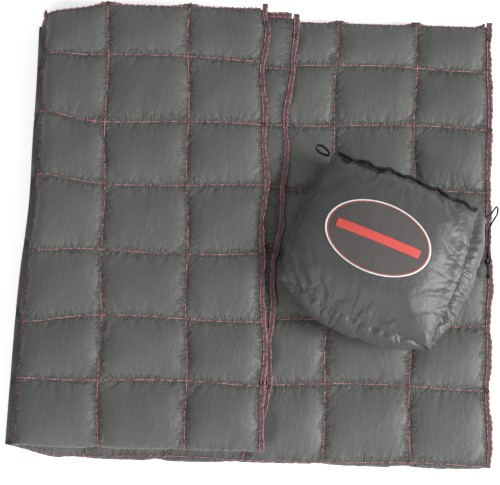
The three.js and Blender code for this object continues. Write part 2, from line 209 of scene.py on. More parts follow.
def plastic_material(name, colour, roughness):
    """Moulded plastic with a faint grain and small differences in gloss."""
    material, nodes, shader = new_material(name)
    where = add_node(nodes, "TexCoord").outputs["Object"]
    grain = add_node(nodes, "TexNoise", Vector=where, Scale=900.0, Detail=2.0).outputs["Fac"]
    bump = add_node(nodes, "Bump", Height=grain, Strength=0.12, Distance=0.0002)
    gloss = add_node(nodes, "MapRange", Value=grain, To_Min=roughness - 0.08, To_Max=roughness + 0.08)
    fill_in(shader, Base_Color=colour, Roughness=gloss.outputs["Result"], Normal=bump.outputs["Normal"])
    return material


SHELL = cloth_material("shell_nylon", linear(74, 74, 73), linear(82, 82, 80), 0.50)
LINING = cloth_material("lining_nylon", linear(68, 68, 69), linear(77, 77, 77), 0.55)
add_seam_puckers(SHELL)
add_seam_puckers(LINING)
HEM_CLOTH = cloth_material("hem_nylon", linear(68, 56, 57), linear(82, 66, 68), 0.55, creases=1.6)
# The sack's cloth is set darker than its own grey: painted shade for the dimmer light on the sack.
SACK_CLOTH = cloth_material("sack_nylon", linear(61, 60, 60), linear(69, 68, 68), 0.40, creases=0.7)
BLACK_CLOTH = cloth_material("black_trim", linear(7, 7, 8), linear(15, 15, 16), 0.75, sheen=0.02)
THREAD = thread_material("seam_thread", linear(222, 142, 150), linear(128, 46, 62))
CORD_CLOTH = thread_material("cord_braid", linear(12, 12, 13), linear(4, 4, 5), sheen=0.0, specular=0.25)
BLACK_PLASTIC = plastic_material("snap_plastic", linear(16, 16, 17), 0.28)
LOCK_PLASTIC = plastic_material("lock_plastic", linear(24, 24, 25), 0.38)


# ---- Making meshes ----

def mesh_object(name, points, faces, material, smooth=True):
    data = bpy.data.meshes.new(name)
    points = np.asarray(points, np.float32).reshape(-1, 3)
    faces = np.asarray(faces, np.int32)
    sides = faces.shape[1]
    data.vertices.add(len(points))
    data.vertices.foreach_set("co", points.ravel())
    data.loops.add(faces.size)
    data.loops.foreach_set("vertex_index", faces.ravel())
    data.polygons.add(len(faces))
    data.polygons.foreach_set("loop_start", np.arange(0, faces.size, sides, dtype=np.int32))
    data.update(calc_edges=True)
    data.validate()
    data.polygons.foreach_set("use_smooth", np.full(len(faces), smooth))
    data.materials.append(material)
    made = bpy.data.objects.new(name, data)
    bpy.context.scene.collection.objects.link(made)
    return made


def grid_faces(rows, columns, close_columns=False, flip=False):
    """Quads of a grid of points, rows by columns, wrapping round in columns if asked."""
    index = np.arange(rows * columns).reshape(rows, columns)
    if close_columns:
        index = np.concatenate([index, index[:, :1]], axis=1)
    quads = np.stack([index[:-1, :-1], index[:-1, 1:], index[1:, 1:], index[1:, :-1]], -1)
    quads = quads.reshape(-1, 4)
    return quads[:, ::-1] if flip else quads


def lengths_along(line):
    """How far along a line of points each of them lies."""
    return np.concatenate([[0], np.cumsum(np.linalg.norm(np.diff(line, axis=0), axis=1))])


def unit(v):
    return v / np.maximum(np.linalg.norm(v, axis=-1, keepdims=True), 1e-12)


def ease(t):
    t = np.clip(t, 0, 1)
    return t * t * (3 - 2 * t)


def lathe(profile, segments=28):
    """Points and quads of a profile of (radius, height), in millimetres, turned round Z."""
    angle = 2 * math.pi * np.arange(segments) / segments
    rings = [np.stack([r * np.cos(angle), r * np.sin(angle), np.full(segments, z)], -1) for r, z in profile]
    return np.stack(rings) * MM, grid_faces(len(profile), segments, True)


def attach(piece, slot, body, *nodes):
    """Puts a piece on the body it rides and hides the nodes it stands for. slot is not used."""
    if nodes:
        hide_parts(*nodes)
    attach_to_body(piece, body)


def blend_at_fold(piece):
    """Bakes the placement of a piece of the side fold into its mesh."""
    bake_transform(piece)


# ---- The drawcord, its knot and its lock ----

CORD_THICK = 0.005
CORD_ROUTE = [
    (614, 54.5, 145.5), (620, 57, 143.5), (627, 63.5, 138), (634, 73, 129), (641, 83, 117),
    (648, 89, 103), (653, 84, 90), (652, 72, 79), (645, 60, 71), (638, 46, 66),
    (633, 30, 64), (631, 12, 63), (631, -6, 64), (631, -20, 64.3),
    (631, -40, 64.3), (631, -60, 64.3), (631, -78, 64.3), (631, -88, 63.3)]
LOCK_X, LOCK_Y, LOCK_Z = 0.631, -0.054, 0.0523


def smooth_route(route, steps):
    """Points along a curve through the route's points."""
    route = np.array(route, float)
    padded = np.concatenate([2 * route[:1] - route[1:2], route, 2 * route[-1:] - route[-2:-1]])
    points = []
    for a, b, c, d in zip(padded[:-3], padded[1:-2], padded[2:-1], padded[3:]):
        for t in np.arange(steps) / steps:
            points.append(0.5 * (2 * b + (c - a) * t + (2 * a - 5 * b + 4 * c - d) * t ** 2
                                 + (3 * b - a - 3 * c + d) * t ** 3))
    return np.array(points + [route[-1]])


def cord_curve(name, points, thick, material, closed=False):
    data = bpy.data.curves.new(name, "CURVE")
    data.dimensions = "3D"
    data.bevel_depth = thick / 2
    data.bevel_resolution = 4
    data.use_fill_caps = True
    spline = data.splines.new("POLY")
    spline.points.add(len(points) - 1)
    spline.points.foreach_set("co", np.c_[points, np.ones(len(points))].ravel())
    spline.use_cyclic_u = closed
    data.materials.append(material)
    made = bpy.data.objects.new(name, data)
    bpy.context.scene.collection.objects.link(made)
    return made


cord_points = smooth_route(CORD_ROUTE, 5) * MM
cord = cord_curve("drawcord_braid", cord_points, CORD_THICK, CORD_CLOTH)
attach(cord, "black_trim", "sack", "drawcord")

turn = np.linspace(0, 2 * math.pi, 72, endpoint=False)
KNOT_MIDDLE = (0.631, -0.0935, 0.0633)
KNOT_SIZE = 0.0020
KNOT_STRAND = 0.0044
knot_points = np.array(KNOT_MIDDLE) + KNOT_SIZE * np.stack([
    np.sin(turn) + 1.5 * np.sin(2 * turn), 1.15 * np.cos(turn) - 1.5 * np.cos(2 * turn),
    -1.1 * np.sin(3 * turn)], -1)
knot = cord_curve("drawcord_knot_turns", knot_points, KNOT_STRAND, CORD_CLOTH, closed=True)
attach(knot, "black_trim", "sack", "drawcord_knot")

BARREL = [(0.0, 0.1), (7.6, 0.1), (8.6, 0.6), (9.0, 1.5), (9.0, 3.2), (8.6, 3.6), (8.6, 4.4), (9.0, 4.8),
          (9.0, 6.2), (8.6, 6.6), (8.6, 16.2), (9.0, 16.8), (9.0, 18.6), (8.6, 19.6),
          (7.9, 20.0), (6.9, 20.0), (6.5, 19.5), (6.4, 17.0), (0.0, 17.0)]
PLUNGER = [(0.0, 8.0), (5.2, 8.0), (5.8, 8.6), (5.9, 22.6), (6.0, 24.2), (5.6, 24.9), (4.9, 25.0),
           (4.4, 24.7), (4.1, 24.2), (2.2, 23.7), (0.0, 23.6)]
for name, profile, node, body in (
    ("cord_lock_barrel_moulding", BARREL, "cord_lock_barrel", "cord_lock"),
    ("cord_lock_plunger_moulding", PLUNGER, "cord_lock_plunger", "plunger"),
):
    points, faces = lathe(profile, 40)
    made = mesh_object(name, points + np.array([LOCK_X, LOCK_Y, LOCK_Z]), faces, LOCK_PLASTIC)
    attach(made, "lock_plastic", body, node)
EYELET_RADIUS, EYELET_THICK, EYELET_REACH, CORD_HEIGHT = 0.0039, 0.0016, 0.0086, 0.012
ring = 2 * math.pi * np.arange(24) / 24
for side in (-1, 1):
    eyelet = np.stack([LOCK_X + EYELET_RADIUS * np.cos(ring), np.full(24, LOCK_Y + side * EYELET_REACH),
                       LOCK_Z + CORD_HEIGHT + EYELET_RADIUS * np.sin(ring)], -1)
    rim = cord_curve("cord_lock_eyelet_" + ("near" if side < 0 else "far"), eyelet, EYELET_THICK,
                     LOCK_PLASTIC, closed=True)
    attach(rim, "lock_plastic", "cord_lock")
STEEL, _, steel_shader = new_material("spring_steel")
fill_in(steel_shader, Metallic=1.0, Roughness=0.3, Base_Color=(0.5, 0.51, 0.53, 1))
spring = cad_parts["cord_lock_spring"]
spring.data.materials.clear()
spring.data.materials.append(STEEL)
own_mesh(spring)


# ---- Cloth blown up by simulation ----

NYLON = dict(quality=4, mass=0.15, tension_stiffness=12, compression_stiffness=12, shear_stiffness=5,
             use_pressure=True)


def blown_up(name, points, faces, group_name, shares, last, **changes):
    """A cloth's points after last frames of pressure from inside.

    shares gives each point's weight in the vertex group that changes refers to.
    """
    cloth = mesh_object(name, points, faces, SHELL)
    group = cloth.vertex_groups.new(name=group_name)
    shares = np.round(np.asarray(shares, float), 2)
    for share in np.unique(shares[shares > 0]):
        group.add(np.flatnonzero(shares == share).tolist(), float(share), "REPLACE")
    modifier = cloth.modifiers.new("cloth", "CLOTH")
    for key, value in {**NYLON, **changes}.items():
        setattr(modifier.settings, key, value)
    modifier.settings.effector_weights.gravity = 0
    modifier.collision_settings.use_collision = False
    modifier.point_cache.frame_start, modifier.point_cache.frame_end = 1, last
    for step in range(1, last + 1):
        bpy.context.scene.frame_set(step)
    shown = cloth.evaluated_get(bpy.context.evaluated_depsgraph_get()).data
    done = np.zeros(points.size)
    shown.vertices.foreach_get("co", done)
    bpy.data.objects.remove(cloth)
    bpy.context.scene.frame_set(1)
    return done.reshape(points.shape)


# ---- Quilted cells ----

CELL_U, CELL_V = 58, 48  # steps across a simulated cell
CELL_WIDE, CELL_DEEP = 0.215, 0.1754
SIM_COLUMNS, SIM_ROWS = 2, 3
CALM_FROM, CALM_OVER, CALM_SHARE = 0.006, 0.030, 0.75  # wrinkles fade this far from a seam


def around(grid):
    """The mean of each inner point's four neighbours."""
    return (grid[:-2, 1:-1] + grid[2:, 1:-1] + grid[1:-1, :-2] + grid[1:-1, 2:]) / 4


def simulated_offsets(x, y, puff, rough, seam):
    """Offsets of the cells' cloth from flat, with the wrinkles kept near the seams."""
    flat = np.stack([x, y, np.zeros_like(x)], -1)
    start = flat.copy()
    start[..., 2] = np.where(seam, 0, 0.003 * puff + 0.0006 * rough)
    done = blown_up("sim_cells", start, grid_faces(*x.shape), "pin", seam.ravel(), 24, air_damping=2.0,
                    bending_stiffness=0.05, vertex_group_mass="pin", shrink_min=-0.03,
                    uniform_pressure_force=6)
    offsets = done - flat
    # One light smoothing pass takes out the finest mesh ripple.
    offsets[1:-1, 1:-1] = 0.6 * offsets[1:-1, 1:-1] + 0.4 * around(offsets)
    offsets[seam] = 0
    smooth = offsets.copy()
    for _ in range(30):
        smooth[1:-1, 1:-1] = around(smooth)
        smooth[seam] = 0
    to_column = np.abs((x / CELL_WIDE + 0.5) % 1 - 0.5) * CELL_WIDE
    to_row = np.abs((y / CELL_DEEP + 0.5) % 1 - 0.5) * CELL_DEEP
    calm = CALM_SHARE * ease((np.minimum(to_column, to_row) - CALM_FROM) / CALM_OVER)[..., None]
    return offsets * (1 - calm) + smooth * calm


def make_cells():
    """Offsets of six quilted cells from their flat place: across, along and out."""
    columns, rows = SIM_COLUMNS * CELL_U + 1, SIM_ROWS * CELL_V + 1
    x, y = np.meshgrid(np.linspace(0, SIM_COLUMNS * CELL_WIDE, columns),
                       np.linspace(0, SIM_ROWS * CELL_DEEP, rows))
    puff = np.abs(np.sin(np.pi * x / CELL_WIDE) * np.sin(np.pi * y / CELL_DEEP))
    rough = np.random.default_rng(SEED).normal(0, 1, (rows, columns))
    rough = (rough + np.roll(rough, 1, 0) + np.roll(rough, 1, 1)) / 3
    seam = (np.arange(columns)[None, :] % CELL_U == 0) | (np.arange(rows)[:, None] % CELL_V == 0)
    offsets = simulated_offsets(x, y, puff, rough, seam)
    return [offsets[row * CELL_V:(row + 1) * CELL_V + 1, column * CELL_U:(column + 1) * CELL_U + 1]
            for row in range(SIM_ROWS) for column in range(SIM_COLUMNS)]


CELLS = make_cells()


# ---- The blanket's shape ----

LEAF = 0.026
MIDDLE_Z = 0.05215  # the plane of the side fold, and of its hinge
INNER, OUTER = LEAF / 2, 1.5 * LEAF  # each leaf's middle, from that plane
PAIR = LEAF  # the middle of a pair of leaves, from that plane
ROLL_X = -0.593  # where the side fold starts to turn
HINGE_X = -0.645
NEAR_TURN = np.array([-0.5879, -0.5619])  # where the near fold starts, base and flap
STILL_X = 0.045  # the cloth is drawn in to the left of this
DRAWN_NEAR, DRAWN_FAR = 0.006, 0.037
LEAF_NEAR_Y, LEAF_DEEP = -0.564, 1.138

# Row seams 0 to 14 run from the far hem of the inner leaf, round the near fold, to
# the far hem of the outer leaf. Each is how far it lies past NEAR_TURN.
ROWS_BASE = -0.5879 - np.array([0.604, 0.483, 0.317, 0.135, -0.046, -0.225, -0.394, -0.598])
ROWS_BASE = np.concatenate([ROWS_BASE, 0.171 + 0.1760 * np.arange(6), [1.2267]])
ROWS_FLAP = np.array([-1.170, -1.031, -0.871, -0.694, -0.517, -0.339, -0.162, 0.014])
FLAP_TOP_ROWS = np.array([-0.402, -0.233, -0.056, 0.128, 0.299, 0.481, 0.623])
ROWS_FLAP = np.concatenate([ROWS_FLAP, FLAP_TOP_ROWS + 0.5619 + math.pi * LEAF / 2])
# How far the rows sag at the side fold, rows 7 to 14, on the outer leaf.
SAG = np.array([0, -0.006, 0.015, 0.008, -0.015, -0.025, -0.037, -0.010])

# Column seams 0 to 9 run from the right hem, round the side fold, to the flap's free
# hem. These are their x at the far end and at the near end, before the cloth is drawn in.
INNER_X = ((0.629, 0.629), (0.436, 0.426), (0.217, 0.196), (0.000, -0.010), (-0.220, -0.220),
           (-0.435, -0.435), (-0.578, -0.600), (-0.350, -0.390), (-0.135, -0.180), (0.092, 0.024))
OUTER_X = ((0.629, 0.629), (0.405, 0.405), (0.180, 0.180), (-0.042, -0.042), (-0.264, -0.264),
           (-0.486, -0.486), (-0.628, -0.622), (-0.440, -0.399), (-0.208, -0.165), (0.005, 0.029))
END_Y = (0.600, -0.590)  # where the far end and the near end are


def past_roll(places, depth):
    """Column seams as lengths past ROLL_X. Seams 6 to 9 lie past the side fold."""
    lengths = np.array(places) - ROLL_X
    lengths[:6] *= -1
    lengths[6:] += math.pi * depth
    return lengths


COLUMNS_INNER = past_roll(INNER_X, INNER)
COLUMNS_OUTER = past_roll(OUTER_X, OUTER)


def drawn_in(x, y):
    """How far the askew side fold draws the cloth in, as on the CAD's leaves."""
    share = np.maximum((STILL_X - x) / (STILL_X - HINGE_X), 0)
    return share * (DRAWN_NEAR + (DRAWN_FAR - DRAWN_NEAR) * (y - LEAF_NEAR_Y) / LEAF_DEEP)


def seam_value(table, number):
    """A table's value at a seam number with a fraction, smooth between seams."""
    low = np.clip(np.floor(number).astype(int), 0, len(table) - 2)
    part = number - low
    return table[low] * (1 - part) + table[low + 1] * part


FOLD_U = 338 / CELL_U  # the column place of the hinge on the inner leaves


def cloth_place(u, v, unrolled=None):
    """Points on the cloth's middle surface and the outward direction there.

    u is the column seam number and v the row seam number, both with fractions.
    unrolled, "base" or "flap", keeps that inner leaf flat as far as the hinge.
    """
    u, v = np.broadcast_arrays(np.asarray(u, float), np.asarray(v, float))
    turned = ease((u - 5.2) / 0.7)
    start = NEAR_TURN[0] * (1 - turned) + NEAR_TURN[1] * turned
    along = seam_value(ROWS_BASE, v) * (1 - turned) + seam_value(ROWS_FLAP, v) * turned
    # The rows sag near the side fold.
    by_fold = np.exp(-((u - 6.05) / 0.55) ** 2) * ease((v - 7) / 0.6)
    along = along - by_fold * seam_value(SAG, np.maximum(v - 7, 0))
    along = along + 0.005 * np.sin(2.1 * u + 1.3 * v) * ease(v) * ease(14 - v)
    bend = np.clip(along / (LEAF / 2), 0, math.pi)
    y = np.where(along < 0, start - along, start - LEAF / 2 * np.sin(bend))
    y = np.where(bend >= math.pi, start + along - math.pi * LEAF / 2, y)
    depth = PAIR - LEAF / 2 * np.cos(bend)
    out_y, out_depth = -np.sin(bend), -np.cos(bend)

    toward = np.clip((y - END_Y[1]) / (END_Y[0] - END_Y[1]), -0.05, 1.1)
    inner, outer = (seam_value(table[:, 0], u) * toward + seam_value(table[:, 1], u) * (1 - toward)
                    for table in (COLUMNS_INNER, COLUMNS_OUTER))
    share = (depth - INNER) / (OUTER - INNER)
    across = inner * (1 - share) + outer * share
    across = across + 0.003 * np.sin(3.1 * v + 1.7 * u) * ease(u * 2) * ease((9 - u) * 2)
    # The free edges wander.
    edge_wave = 0.6 * np.sin(2.3 * v + 0.8) + 0.4 * np.sin(5.1 * v + 2.0)
    at_edge = 0.008 * ease((u - 8.3) / 0.7) + 0.004 * ease((0.6 - u) / 0.6)
    across = across + at_edge * edge_wave * ease(2 * v) * ease(2 * (14 - v))
    if unrolled == "base":
        angle = np.zeros_like(across)
        first = seam_value(COLUMNS_INNER[:, 0], np.array(5.0))
        share = np.clip((u - 5) / (FOLD_U - 5), 0, 1)
        x = ROLL_X - (first * (1 - share) + (ROLL_X - HINGE_X) * share)
    elif unrolled == "flap":
        angle = np.full_like(across, math.pi)
        share = np.clip((u - FOLD_U) / (6 - FOLD_U), 0, 1)
        beyond = ROLL_X + across - math.pi * depth
        x = HINGE_X * (1 - share) + beyond * share
    else:
        angle = np.clip(across / depth, 0, math.pi)
        x = np.where(across < 0, ROLL_X - across, ROLL_X - depth * np.sin(angle))
        x = np.where(angle >= math.pi, ROLL_X + across - math.pi * depth, x)
    z = MIDDLE_Z - depth * np.cos(angle)
    out = np.stack([-out_depth * np.sin(angle), out_y, -out_depth * np.cos(angle)], -1)
    x = x + drawn_in(x, y)
    # The far left corner is drawn in by the double fold.
    cut = np.clip((-0.430 - x) / 0.17, 0, 1.1) * ease((y - 0.30) / 0.30)
    y = y - 0.042 * cut
    # The side fold bulges a little to the left and right of the hinge line.
    wave = 0.012 * np.exp(-((y - 0.08) / 0.17) ** 2) + 0.007 * np.exp(-((y - 0.36) / 0.16) ** 2)
    x = x + wave * ease((-0.50 - x) / 0.1)
    return np.stack([x, y, z], -1), out


def cell_offsets(u, v):
    """Simulated offsets at grid points, cell by cell, in a fixed random order."""
    offsets = np.zeros((len(v), len(u), 3))
    for row in range(14):
        for column in range(9):
            in_u = np.flatnonzero((u > column - 1e-6) & (u < column + 1 + 1e-6))
            in_v = np.flatnonzero((v > row - 1e-6) & (v < row + 1 + 1e-6))
            if not len(in_u) or not len(in_v):
                continue
            pick = np.random.default_rng(SEED * 1000 + row * 31 + column)
            cell = CELLS[pick.integers(len(CELLS))]
            if pick.random() < 0.5:
                cell = cell[:, ::-1] * np.array([-1, 1, 1])
            at_u = np.clip(np.rint((u[in_u] - column) * CELL_U).astype(int), 0, CELL_U)
            at_v = np.clip(np.rint((v[in_v] - row) * CELL_V).astype(int), 0, CELL_V)
            offsets[np.ix_(in_v, in_u)] = cell[np.ix_(at_v, at_u)]
    return offsets


def limited(height, limit):
    """Pressed flat softly where something lies against it."""
    knee = 0.8 * limit
    over = np.maximum(height - knee, 0)
    return np.where(height > knee, knee + (limit - knee) * (1 - np.exp(-over / (limit - knee))), height)


LOWEST = 0.0002  # the height of the lowest cloth over the floor
CLOTHS = {1: (SHELL, "shell_nylon"), -1: (LINING, "lining_nylon")}


def quilt_sheet(name, columns, rows, side, steps, limit, unrolled=None):
    """One face of the quilt between column and row seams.

    side is 1 for the outer face and -1 for the face towards the other leaf. steps is
    how many simulated steps one mesh step takes, and limit is how far cells may
    stand out, a number or a function of the points.
    """
    u = np.arange(round(columns[0] * CELL_U), round(columns[1] * CELL_U) + 1, steps) / CELL_U
    v = np.arange(round(rows[0] * CELL_V), round(rows[1] * CELL_V) + 1, steps) / CELL_V
    points, out = cloth_place(u[None, :], v[:, None], unrolled)
    along_u = unit(np.gradient(points, axis=1))
    along_v = unit(np.gradient(points, axis=0))
    offsets = cell_offsets(u, v)
    lift = offsets[..., 2]
    top = limit(points) if callable(limit) else limit
    lift = limited(np.maximum(lift, -0.0005), top) + 0.0006
    if side < 0:
        offsets = offsets * 0.8
    points = (points + offsets[..., :1] * along_u + offsets[..., 1:2] * along_v
              + side * lift[..., None] * out)
    if unrolled and side > 0:
        # The two inner leaves close on each other at the hinge.
        close = ease((HINGE_X + 0.045 - points[..., 0]) / 0.04)
        apart = -0.0003 if unrolled == "base" else 0.0003
        points[..., 2] += close * (MIDDLE_Z + apart - points[..., 2])
    points[..., 2] = np.maximum(points[..., 2], LOWEST)
    middle = (len(v) // 2, len(u) // 2)
    facing = np.dot(np.cross(along_u[middle], along_v[middle]), out[middle]) * side > 0
    made = mesh_object(name, points, grid_faces(len(v), len(u), flip=not facing), CLOTHS[side][0])
    place = made.data.attributes.new("quilt_place", "FLOAT_VECTOR", "POINT")
    u_all, v_all = np.meshgrid(u, v)
    place.data.foreach_set("vector", np.stack([u_all, v_all, 0 * u_all], -1).ravel())
    return made


PRESSED = 0.0128  # how far a cell stands out where a leaf lies against it
BETWEEN = PRESSED - 0.001  # and between the two cloths of a leaf


def base_top_limit(points):
    """The base's top is free to the right of the flap and pressed flat under it."""
    edge = STILL_X + 0.060 * np.clip((points[..., 1] - 0.25) / 0.35, 0, 1)
    return PRESSED + 0.012 * ease((points[..., 0] - edge - 0.005) / 0.05)


FREE = 0.030  # more than any cell stands out

for name, columns, rows, side, steps, limit, *replaced in (
    ("base_top_right", (0, 3), (0, 7), 1, 1, base_top_limit),
    ("base_top_left", (3, 5), (0, 7), 1, 2, PRESSED),
    ("base_underside", (0, 5.5), (7, 14), 1, 2, PRESSED, "base_outer_shell"),
    ("base_lining", (0, 5), (0, 14), -1, 2, BETWEEN, "base_inner_shell", "base_fill"),
    ("flap_top", (6, 9), (7, 14), 1, 1, FREE, "flap_outer_shell"),
    ("flap_underside", (7, 9), (0, 7), 1, 2, PRESSED),
    ("flap_lining", (6, 8), (0, 14), -1, 2, BETWEEN, "flap_inner_shell", "flap_fill"),
    ("flap_strip_lining", (8, 9), (0, 7), -1, 1, PRESSED + 0.004),
    ("flap_edge_lining", (8, 9), (7, 14), -1, 2, BETWEEN),
    ("base_top_fold", (5, FOLD_U), (0, 7), 1, 2, PRESSED),
    ("flap_underside_fold", (FOLD_U, 7), (0, 7), 1, 2, PRESSED),
    ("base_lining_fold", (5, FOLD_U), (0, 7), -1, 2, BETWEEN),
    ("flap_lining_fold", (FOLD_U, 6), (0, 7), -1, 2, BETWEEN),
):
    body = name.split("_")[0]
    made = quilt_sheet(name, columns, rows, side, steps, limit, body if name.endswith("fold") else None)
    attach(made, CLOTHS[side][1], body, *replaced)


def side_fold_limit(points):
    """The side fold stands out less where the near fold turns into it."""
    return 0.004 + 0.0128 * ease((points[..., 1] + 0.60) / 0.05)


for name, first, side, limit in (
    ("side_fold", 5.5, 1, side_fold_limit),
    ("side_fold_lining", 5, -1, 0.006),
):
    fold = quilt_sheet(name, (first, 6), (7, 14), side, 1, limit)
    blend_at_fold(fold)


# ---- Stitches ----

STITCH_PITCH, STITCH_LONG, STITCH_THICK, STITCH_LIFT = 0.0066, 0.0058, 0.0019, 0.0008


def stitch_template():
    """A small five-sided bead along X, of unit length and unit radius, as triangles."""
    sides = 5
    angle = 2 * math.pi * np.arange(sides) / sides
    rings = [(x, r) for x, r in ((-0.45, 0.7), (-0.2, 1.0), (0.2, 1.0), (0.45, 0.7))]
    points = [(x, r * math.cos(a), r * math.sin(a)) for x, r in rings for a in angle]
    points += [(-0.5, 0, 0), (0.5, 0, 0)]
    first, last = len(points) - 2, len(points) - 1
    faces = []
    for k in range(sides):
        other = (k + 1) % sides
        faces.append((first, other, k))
        faces.append((last, 3 * sides + k, 3 * sides + other))
        for ring in range(3):
            a, b = ring * sides, (ring + 1) * sides
            faces += [(a + k, a + other, b + other), (a + k, b + other, b + k)]
    return np.array(points), np.array(faces)


def seam_numbers(u, v, count):
    """Column and row seam numbers along a line, where u and v are numbers or ranges."""
    return [np.linspace(*n, count) if np.ndim(n) else np.full(count, float(n)) for n in (u, v)]


class Stitching:
    """Gathers the stitches of one piece of the blanket into one mesh."""

    def __init__(self):
        self.points, self.faces, self.count = [], [], 0
        self.shape, self.links = stitch_template()
        self.random = np.random.default_rng(SEED + 5)

    def add(self, line, up, thick=STITCH_THICK):
        """Stitches along a line of points, lying on the surface whose upward is up."""
        length = lengths_along(line)
        at = np.arange(STITCH_PITCH / 2, length[-1], STITCH_PITCH)
        if not len(at):
            return

        def sample(values, where):
            return np.stack([np.interp(where, length, axis) for axis in values.T], -1)

        middle = sample(line, at)
        aside = STITCH_PITCH * 0.3
        direction = unit(sample(line, at + aside) - sample(line, at - aside))
        normal = unit(sample(up, at))
        across = unit(np.cross(normal, direction))
        skew = self.random.normal(0, 0.07, (len(at), 1))
        direction, across = direction + skew * across, across - skew * direction
        buried = np.where(self.random.random((len(at), 1)) < 0.07, -0.9, 0.3)
        middle = middle + across * self.random.normal(0, 0.0003, (len(at), 1)) + normal * thick * buried
        size = STITCH_LONG * self.random.uniform(0.9, 1.08, (len(at), 1, 1))
        shape = self.shape[None]
        beads = (middle[:, None] + direction[:, None] * shape[..., :1] * size
                 + across[:, None] * shape[..., 1:2] * thick / 2
                 + normal[:, None] * shape[..., 2:] * thick * 0.4)
        step = len(self.shape)
        self.points.append(beads.reshape(-1, 3))
        first = self.count + step * np.arange(len(at))
        self.faces.append((self.links[None] + first[:, None, None]).reshape(-1, 3))
        self.count += step * len(at)

    def seam(self, u, v, side=1, unrolled=None):
        """Stitches along a column seam (v a range) or a row seam (u a range)."""
        points, out = cloth_place(*seam_numbers(u, v, 400), unrolled)
        self.add(points + side * STITCH_LIFT * out, side * out)

    def finish(self, name):
        """The mesh of the stitches, on the body that starts its name."""
        made = mesh_object(name, np.concatenate(self.points), np.concatenate(self.faces), THREAD)
        body = name.split("_")[0]
        if body == "side":
            blend_at_fold(made)
        else:
            attach(made, "thread", body)


def quilt_stitches(name, columns, rows, column_span, row_span=(0, 7), side=1, unrolled=None):
    """The stitching of whole column seams and row seams on one face."""
    stitching = Stitching()
    for u in columns:
        stitching.seam(u, row_span, side)
    for v in rows:
        stitching.seam(column_span, v, side, unrolled)
    stitching.finish(name)


quilt_stitches("base_top_stitches", range(1, 6), range(1, 8), (0, 5))
quilt_stitches("base_underside_stitches", range(1, 6), range(8, 14), (0, 5.5), (7, 14))
quilt_stitches("flap_top_stitches", range(6, 9), range(7, 14), (6, 9), (7, 14))
quilt_stitches("flap_underside_stitches", (7, 8), range(1, 7), (7, 9))
quilt_stitches("base_top_fold_stitches", (), range(1, 8), (5, FOLD_U), unrolled="base")
quilt_stitches("flap_underside_fold_stitches", (), range(1, 7), (FOLD_U, 7), unrolled="flap")
quilt_stitches("flap_strip_stitches", (), range(1, 7), (8, 9), side=-1)
quilt_stitches("side_fold_stitches", (), range(8, 14), (5.5, 6))


# ---- Hems and press snaps ----

HEM_WIDE, HEM_THICK = 0.016, 0.0040
HEM_SECTION = 18
HEM_SEAMS = (0.2, 0.8)


def hem_section(share):
    """Half thickness of the binding at shares of its width, with its two stitch grooves."""
    edge = np.clip(1 - np.abs(2 * share - 1) ** 5, 0.03, 1) ** 0.5
    groove = sum(0.35 * np.exp(-((share - at) / 0.07) ** 2) for at in HEM_SEAMS)
    return HEM_THICK / 2 * edge * (1 - groove)


class Hem:
    """A bound edge of the quilt: a puckered strip with two rows of stitches."""

    def __init__(self, u, v, away, seed, droop=None):
        """u and v give the quilt's edge line, and away is the way the hem goes from it."""
        count = 700 if np.ndim(v) else 340
        self.u, self.v = seam_numbers(u, v, count)
        self.numbers = self.v if np.ndim(v) else self.u
        self.line, self.up = cloth_place(self.u, self.v)
        small = 0.02
        du, dv = away
        beside, _ = cloth_place(self.u - du * small, self.v - dv * small)
        self.away = unit(self.line - beside)
        along = unit(np.gradient(self.line, axis=0))
        self.away = unit(self.away - along * np.sum(self.away * along, -1, keepdims=True))
        if droop is not None:
            # The hem hangs down over the quilt's edge.
            down = np.array([0, 0, -1.0])
            angle = droop(self.u, self.v)[:, None]
            turned = unit(np.cos(angle) * self.away + np.sin(angle) * down)
            sign = np.sign(np.sum(self.up * down, -1, keepdims=True))
            self.up = unit(np.cos(angle) * self.up + sign * np.sin(angle) * -self.away)
            self.up = unit(self.up - turned * np.sum(self.up * turned, -1, keepdims=True))
            self.away = turned
        # Caps are on the outer side. A hem across the quilt has them all on one side.
        self.cap_side = np.where(self.up[:, 2] > 0, 1, -1)
        if not np.ndim(v):
            self.cap_side[:] = self.cap_side[count // 2]
        length = lengths_along(self.line)
        random = np.random.default_rng(SEED + seed)
        phase = np.cumsum(random.normal(0, 0.10, count)) + 2 * math.pi * length / 0.0105
        phase2 = np.cumsum(random.normal(0, 0.12, count)) + 2 * math.pi * length / 0.0165
        self.ripple = 0.55 * np.sin(phase) + 0.45 * np.sin(phase2)
        self.sway = (0.0022 * np.sin(2 * math.pi * length / 0.19 + seed) + 0.0009 * np.sin(phase2)
                     + 0.0012 * np.sin(2 * math.pi * length / 0.071 + 2 * seed))

    def place(self, share, lift):
        """Points at a share of the hem's width, lift above its middle."""
        wave = 0.0012 * self.ripple * (0.35 + share)
        return (self.line + self.away * (share * HEM_WIDE + self.sway * share)[:, None]
                + self.up * (lift + wave)[:, None])

    def strip(self, name):
        shares = np.linspace(0, 1, HEM_SECTION // 2)
        ring = []
        for side in (1, -1):
            for share in shares[::side]:
                swell = 1 + 0.25 * self.ripple * math.sin(math.pi * share)
                ring.append(self.place(share, side * hem_section(share) * swell))
        ring = np.stack(ring, 1)
        start, end = ring[:1].mean(1, keepdims=True), ring[-1:].mean(1, keepdims=True)
        ring = np.concatenate([np.repeat(start, ring.shape[1], 1), ring,
                               np.repeat(end, ring.shape[1], 1)])
        return mesh_object(name, ring, grid_faces(*ring.shape[:2], True), HEM_CLOTH)

    def stitch(self, stitching):
        for share in HEM_SEAMS:
            for side in (1, -1):
                height = hem_section(share) * side + 0.0004 * side
                line = self.place(share, np.full(len(self.line), height))
                stitching.add(line, side * self.up, thick=0.0018)


